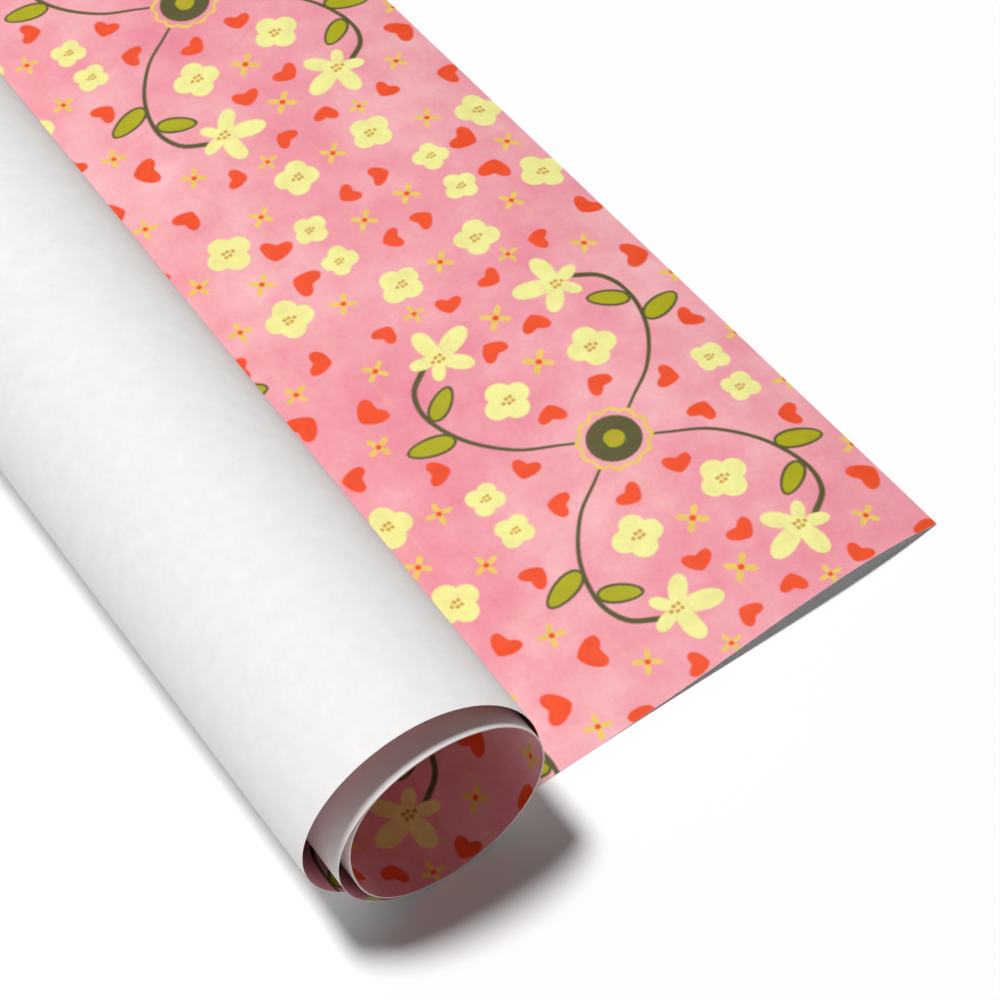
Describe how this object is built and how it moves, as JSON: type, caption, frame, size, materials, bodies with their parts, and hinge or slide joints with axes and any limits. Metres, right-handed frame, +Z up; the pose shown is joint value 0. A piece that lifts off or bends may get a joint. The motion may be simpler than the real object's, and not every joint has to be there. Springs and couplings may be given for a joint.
{
  "type": "wrapping paper roll",
  "caption": "Coreless roll of gift wrap wound print side in, with its printed free end rolled out flat beside the white roll.",
  "frame": {"origin": "middle of the footprint, on the table", "axes": "+X from the roll to the free edge of the flat leaf, +Y along the roll away from its open near end, +Z up"},
  "size_m": [0.1854, 0.7698, 0.0704],
  "materials": {
    "printed_paper": "satin coated paper, pink watercolour ground with a floral print",
    "plain_back": "uncoated white back of the same paper"
  },
  "bodies": {
    "leaf_base": {"leaf_base": "printed_paper"},
    "leaf_strip_1": {"leaf_strip_1": "printed_paper"},
    "leaf_strip_2": {"leaf_strip_2": "printed_paper"},
    "leaf_strip_3": {"leaf_strip_3": "printed_paper"},
    "leaf_strip_4": {"leaf_strip_4": "printed_paper"},
    "leaf_strip_5": {"leaf_strip_5": "printed_paper"},
    "leaf_strip_6": {"leaf_strip_6": "printed_paper"},
    "leaf_strip_7": {"leaf_strip_7": "printed_paper"},
    "leaf_strip_8": {"leaf_strip_8": "printed_paper"},
    "leaf_strip_9": {"leaf_strip_9": "printed_paper"},
    "roll_strip_1": {"roll_strip_1": "plain_back"},
    "roll_strip_2": {"roll_strip_2": "plain_back"},
    "roll_strip_3": {"roll_strip_3": "plain_back"},
    "roll_strip_4": {"roll_strip_4": "plain_back"},
    "roll_strip_5": {"roll_strip_5": "plain_back"},
    "roll_strip_6": {"roll_strip_6": "plain_back"},
    "outer_wrap_left": {"outer_wrap_left_1": "plain_back", "outer_wrap_left_2": "plain_back"},
    "outer_wrap_right": {"outer_wrap_right_1": "plain_back", "outer_wrap_right_2": "plain_back", "outer_wrap_right_3": "plain_back"},
    "second_wrap_left": {"second_wrap_left_1": "plain_back", "second_wrap_left_2": "plain_back", "second_wrap_left_3": "plain_back"},
    "second_wrap_right": {"second_wrap_right_1": "plain_back", "second_wrap_right_2": "plain_back", "second_wrap_right_3": "plain_back"},
    "third_wrap_left": {"third_wrap_left_1": "plain_back", "third_wrap_left_2": "plain_back", "third_wrap_left_3": "plain_back"},
    "third_wrap_right": {"third_wrap_right_1": "plain_back", "third_wrap_right_2": "plain_back", "third_wrap_right_3": "plain_back"},
    "fourth_wrap_left": {"fourth_wrap_left_1": "plain_back", "fourth_wrap_left_2": "plain_back", "fourth_wrap_left_3": "plain_back"},
    "fourth_wrap_right": {"fourth_wrap_right_1": "plain_back", "fourth_wrap_right_2": "plain_back", "fourth_wrap_right_3": "plain_back"},
    "inner_end": {"inner_end_1": "printed_paper", "inner_end_2": "printed_paper", "inner_end_3": "printed_paper", "inner_end_4": "printed_paper"}
  },
  "joints": [
    {"name": "curl_1", "type": "hinge", "parent": "leaf_base", "child": "leaf_strip_1", "pos_m": [-0.0153, 0, 0.00017], "axis": [0, -1, 0], "range_deg": [0, 15]},
    {"name": "curl_2", "type": "hinge", "parent": "leaf_strip_1", "child": "leaf_strip_2", "pos_m": [-0.0033, 0, 0.00031], "axis": [0, -1, 0], "range_deg": [0, 15]},
    {"name": "curl_3", "type": "hinge", "parent": "leaf_strip_2", "child": "leaf_strip_3", "pos_m": [0.0087, 0, 0.00072], "axis": [0, -1, 0], "range_deg": [0, 15]},
    {"name": "curl_4", "type": "hinge", "parent": "leaf_strip_3", "child": "leaf_strip_4", "pos_m": [0.0207, 0, 0.00138], "axis": [0, -1, 0], "range_deg": [0, 15]},
    {"name": "curl_5", "type": "hinge", "parent": "leaf_strip_4", "child": "leaf_strip_5", "pos_m": [0.0327, 0, 0.00222], "axis": [0, -1, 0], "range_deg": [0, 15]},
    {"name": "curl_6", "type": "hinge", "parent": "leaf_strip_5", "child": "leaf_strip_6", "pos_m": [0.0447, 0, 0.00307], "axis": [0, -1, 0], "range_deg": [0, 15]},
    {"name": "curl_7", "type": "hinge", "parent": "leaf_strip_6", "child": "leaf_strip_7", "pos_m": [0.0567, 0, 0.00368], "axis": [0, -1, 0], "range_deg": [0, 15]},
    {"name": "curl_8", "type": "hinge", "parent": "leaf_strip_7", "child": "leaf_strip_8", "pos_m": [0.0687, 0, 0.00366], "axis": [0, -1, 0], "range_deg": [0, 15]},
    {"name": "curl_9", "type": "hinge", "parent": "leaf_strip_8", "child": "leaf_strip_9", "pos_m": [0.0807, 0, 0.00259], "axis": [0, -1, 0], "range_deg": [0, 15]},
    {"name": "unroll_1", "type": "hinge", "parent": "leaf_base", "child": "roll_strip_1", "pos_m": [-0.0621, -0.37719, 0.00017], "axis": [-0.0349, -0.9994, 0], "range_deg": [0, 5]},
    {"name": "unroll_2", "type": "hinge", "parent": "roll_strip_1", "child": "roll_strip_2", "pos_m": [-0.06738, -0.37719, 0.00064], "axis": [-0.0338, -0.9994, -0.0001], "range_deg": [0, 10]},
    {"name": "unroll_3", "type": "hinge", "parent": "roll_strip_2", "child": "roll_strip_3", "pos_m": [-0.0725, -0.37719, 0.00201], "axis": [-0.0328, -0.9995, -0.0004], "range_deg": [0, 10]},
    {"name": "unroll_4", "type": "hinge", "parent": "roll_strip_3", "child": "roll_strip_4", "pos_m": [-0.07731, -0.37721, 0.00425], "axis": [-0.0319, -0.9995, -0.0008], "range_deg": [0, 10]},
    {"name": "unroll_5", "type": "hinge", "parent": "roll_strip_4", "child": "roll_strip_5", "pos_m": [-0.08165, -0.37724, 0.00729], "axis": [-0.031, -0.9995, -0.0014], "range_deg": [0, 10]},
    {"name": "unroll_6", "type": "hinge", "parent": "roll_strip_5", "child": "roll_strip_6", "pos_m": [-0.0854, -0.3773, 0.01103], "axis": [-0.0302, -0.9995, -0.0022], "range_deg": [0, 10]},
    {"name": "unroll_7", "type": "hinge", "parent": "roll_strip_6", "child": "outer_wrap_left", "pos_m": [-0.08844, -0.37738, 0.01537], "axis": [-0.0296, -0.9996, -0.003], "range_deg": [0, 5]},
    {"name": "telescope_1", "type": "slide", "parent": "outer_wrap_left", "child": "outer_wrap_right", "axis": [-0.0349, -0.9994, 0], "range_m": [-0.004, 0.008]},
    {"name": "telescope_2", "type": "slide", "parent": "outer_wrap_right", "child": "second_wrap_left", "axis": [-0.0349, -0.9994, 0], "range_m": [-0.004, 0.008]},
    {"name": "telescope_3", "type": "slide", "parent": "second_wrap_left", "child": "second_wrap_right", "axis": [-0.0349, -0.9994, 0], "range_m": [-0.004, 0.008]},
    {"name": "telescope_4", "type": "slide", "parent": "second_wrap_right", "child": "third_wrap_left", "axis": [-0.0349, -0.9994, 0], "range_m": [-0.004, 0.008]},
    {"name": "telescope_5", "type": "slide", "parent": "third_wrap_left", "child": "third_wrap_right", "axis": [-0.0349, -0.9994, 0], "range_m": [-0.004, 0.008]},
    {"name": "telescope_6", "type": "slide", "parent": "third_wrap_right", "child": "fourth_wrap_left", "axis": [-0.0349, -0.9994, 0], "range_m": [-0.004, 0.008]},
    {"name": "telescope_7", "type": "slide", "parent": "fourth_wrap_left", "child": "fourth_wrap_right", "axis": [-0.0349, -0.9994, 0], "range_m": [-0.004, 0.008]},
    {"name": "telescope_8", "type": "slide", "parent": "fourth_wrap_right", "child": "inner_end", "axis": [-0.0349, -0.9994, 0], "range_m": [-0.004, 0.008]}
  ],
  "couplings": [
    {"joint": "curl_2", "follows": "curl_1", "ratio": 1},
    {"joint": "curl_3", "follows": "curl_1", "ratio": 1},
    {"joint": "curl_4", "follows": "curl_1", "ratio": 1},
    {"joint": "curl_5", "follows": "curl_1", "ratio": 1},
    {"joint": "curl_6", "follows": "curl_1", "ratio": 1},
    {"joint": "curl_7", "follows": "curl_1", "ratio": 1},
    {"joint": "curl_8", "follows": "curl_1", "ratio": 1},
    {"joint": "curl_9", "follows": "curl_1", "ratio": 1},
    {"joint": "unroll_2", "follows": "unroll_1", "ratio": 2},
    {"joint": "unroll_3", "follows": "unroll_1", "ratio": 2},
    {"joint": "unroll_4", "follows": "unroll_1", "ratio": 2},
    {"joint": "unroll_5", "follows": "unroll_1", "ratio": 2},
    {"joint": "unroll_6", "follows": "unroll_1", "ratio": 2},
    {"joint": "unroll_7", "follows": "unroll_1", "ratio": 1},
    {"joint": "telescope_2", "follows": "telescope_1", "ratio": 1},
    {"joint": "telescope_3", "follows": "telescope_1", "ratio": 1},
    {"joint": "telescope_4", "follows": "telescope_1", "ratio": 1},
    {"joint": "telescope_5", "follows": "telescope_1", "ratio": 1},
    {"joint": "telescope_6", "follows": "telescope_1", "ratio": 1},
    {"joint": "telescope_7", "follows": "telescope_1", "ratio": 1},
    {"joint": "telescope_8", "follows": "telescope_1", "ratio": 1}
  ]
}
